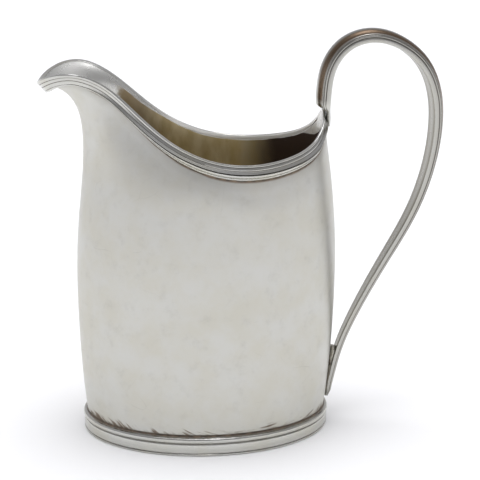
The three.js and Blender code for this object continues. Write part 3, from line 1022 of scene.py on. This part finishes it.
class JUG_OT_heel(bpy.types.Operator):
    """Runs solder into the wedge behind the handle's lower end"""

    bl_idname = "jug.heel"
    bl_label = "Heel solder"

    def execute(self, context):
        scene = context.scene
        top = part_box("heel_solder")[1].z / MM
        x, z, _, _ = strap_route()
        shares = np.linspace(0.5, 1, 400)
        bpy.ops.object.select_all(action="DESELECT")
        bpy.ops.mesh.primitive_ico_sphere_add(subdivisions=6, radius=1.0)
        piece = context.object
        piece.name = piece.data.name = "heel_solder_run"
        filling = 2.2  # how soon the run reaches its full girth from either end
        ball_down, ball_reach, ball_swell = 1.3, 1.1, 0.35
        narrowest = 0.5
        overlap = 1.12  # it runs a little into the wall and the strap
        for vertex in piece.data.vertices:
            rough = 0.22 * noise.noise(vertex.co * Vector((3, 3, 6))) + 0.1 * noise.noise(vertex.co * 15)
            share = (vertex.co.z + 1) / 2
            height = HEEL_BOTTOM + (top - HEEL_BOTTOM) * share
            girth = math.sqrt(max(1 - vertex.co.z**2, 1e-9))
            fill = min(girth * filling, 1.0) / girth
            ball = ball_swell * math.exp(-(((height - top + ball_down) / ball_reach) ** 2))
            wall_x = float(half_length_at(height)) + LEANS_BACK * height
            strap_x = float(np.interp(height, z(shares)[::-1], x(shares)[::-1]))
            half = max(strap_x - wall_x, narrowest) / 2 * overlap
            deep = float(np.interp(height, *HEEL_DEPTH)) + ball
            vertex.co = (
                (MIDDLE_X + (wall_x + strap_x) / 2 + vertex.co.x * fill * half) * MM,
                vertex.co.y * fill * deep * (1 + rough) * MM,
                height * MM,
            )
        bpy.ops.object.shade_smooth()
        piece.data.materials.append(solder_metal(scene.jug_colors))
        belongs(piece, "heel_solder")
        return {"FINISHED"}


# ---- The stage ---------------------------------------------------------------------------------
# Brightness of the air by the height of the direction, from straight down (0) over level (0.5) to
# straight up (1): in front, where the room is dark above the table, and behind.
AIR_IN_FRONT = [(0.0, 0.9), (0.585, 0.88), (0.64, 0.5), (0.69, 0.31), (0.8, 0.29), (0.92, 0.4)]
AIR_BEHIND = [(0.0, 0.9), (0.5, 0.85), (0.55, 0.7), (0.62, 0.58), (0.75, 0.52), (0.9, 0.52)]
AIR_OVERHEAD = [(0.976, 0.7), (1.0, 5.0)]
AIR_BLUE = 1.05  # how much more blue the air has than red and green


def air_ramp(air, rise, lower_stops):
    """The air's colour by the height of the direction."""
    stops = lower_stops + AIR_OVERHEAD
    color = air.node("ShaderNodeValToRGB", {}, {0: rise})
    ramp = color.socket.node.color_ramp
    while len(ramp.elements) < len(stops):
        ramp.elements.new(0.5)
    for element, (position, value) in zip(ramp.elements, stops):
        element.position = position
        element.color = (value, value, value * AIR_BLUE, 1.0)
    return color


def studio_air(strength):
    """Light from all round: bright overhead, dark in front above the table, and grey behind."""
    world = bpy.data.worlds.new("studio_air")
    air = Web(world)
    direction = air.node("ShaderNodeTexCoord", {}, {}, output="Generated")
    rise = air.part(direction, 2) * 0.5 + 0.5
    behind = air.part(direction, 1).rise(-0.35, 0.35)
    around = air.blend(behind, air_ramp(air, rise, AIR_IN_FRONT), air_ramp(air, rise, AIR_BEHIND))
    seen = air.node("ShaderNodeLightPath", {}, {}, output="Is Camera Ray")
    color = air.blend(seen, around, (1.0, 1.0, 1.0))
    background = air.node("ShaderNodeBackground", {}, {"Color": color, "Strength": strength})
    air.node("ShaderNodeOutputWorld", {}, {"Surface": background})
    return world


class JUG_OT_stage(bpy.types.Operator):
    """Lays the floor, hangs the lamp and sets the camera"""

    bl_idname = "jug.stage"
    bl_label = "Studio"

    def execute(self, context):
        scene = context.scene
        studio = scene.jug_studio
        bpy.ops.object.select_all(action="DESELECT")
        bpy.ops.mesh.primitive_plane_add(size=studio.floor_size)
        floor = context.object
        floor.name = "floor"
        floor.data.materials.append(floor_white(scene.jug_colors.floor))

        scene.world = studio_air(studio.room_light)
        sun = bpy.data.lights.new("overhead", "SUN")
        sun.energy = studio.top_light
        sun.angle = studio.lamp_width
        lamp = bpy.data.objects.new("overhead", sun)
        lamp.location = (0, 0, 1)
        lamp.visible_glossy = False  # the silver mirrors the air, and not the lamp's round disc
        scene.collection.objects.link(lamp)

        target = Vector((MIDDLE_X * MM + studio.aim_sideways, 0.0, studio.aim_height))
        flat = math.cos(studio.elevation)
        x, y = math.sin(studio.azimuth), -math.cos(studio.azimuth)
        back = Vector((flat * x, flat * y, math.sin(studio.elevation)))
        camera = bpy.data.cameras.new("camera")
        camera.lens = studio.lens
        camera.sensor_width = 36.0
        camera.clip_start = 0.01
        camera.clip_end = 100.0
        holder = bpy.data.objects.new("camera", camera)
        holder.location = target + back * studio.distance
        holder.rotation_euler = (-back).to_track_quat("-Z", "Y").to_euler()
        scene.collection.objects.link(holder)
        scene.camera = holder
        scene.view_settings.view_transform = "Standard"
        return {"FINISHED"}


SETTINGS = {"jug_colors": JugColors, "jug_detail": JugDetail, "jug_studio": JugStudio}
PIECES = (JUG_OT_body, JUG_OT_base, JUG_OT_foot, JUG_OT_rim, JUG_OT_handle, JUG_OT_heel)


class JUG_PT_panel(bpy.types.Panel):
    """Lists the jug's pieces and its studio"""

    bl_label = "Cream jug"
    bl_idname = "JUG_PT_panel"
    bl_space_type = "VIEW_3D"
    bl_region_type = "UI"
    bl_category = "Cream jug"

    def draw(self, context):
        for settings, group in SETTINGS.items():
            column = self.layout.column()
            for name in group.__annotations__:
                column.prop(getattr(context.scene, settings), name)
        for piece in (*PIECES, JUG_OT_stage):
            self.layout.operator(piece.bl_idname)


CLASSES = (*SETTINGS.values(), *PIECES, JUG_OT_stage, JUG_PT_panel)


def register():
    for made in CLASSES:
        bpy.utils.register_class(made)
    for name, group in SETTINGS.items():
        setattr(bpy.types.Scene, name, PointerProperty(type=group))


def unregister():
    for name in SETTINGS:
        delattr(bpy.types.Scene, name)
    for made in reversed(CLASSES):
        bpy.utils.unregister_class(made)


def main():
    register()
    bpy.ops.jug.body()
    bpy.ops.jug.base()
    bpy.ops.jug.foot()
    bpy.ops.jug.rim()
    bpy.ops.jug.handle()
    bpy.ops.jug.heel()
    bpy.ops.jug.stage()


if __name__ == "__main__":
    main()
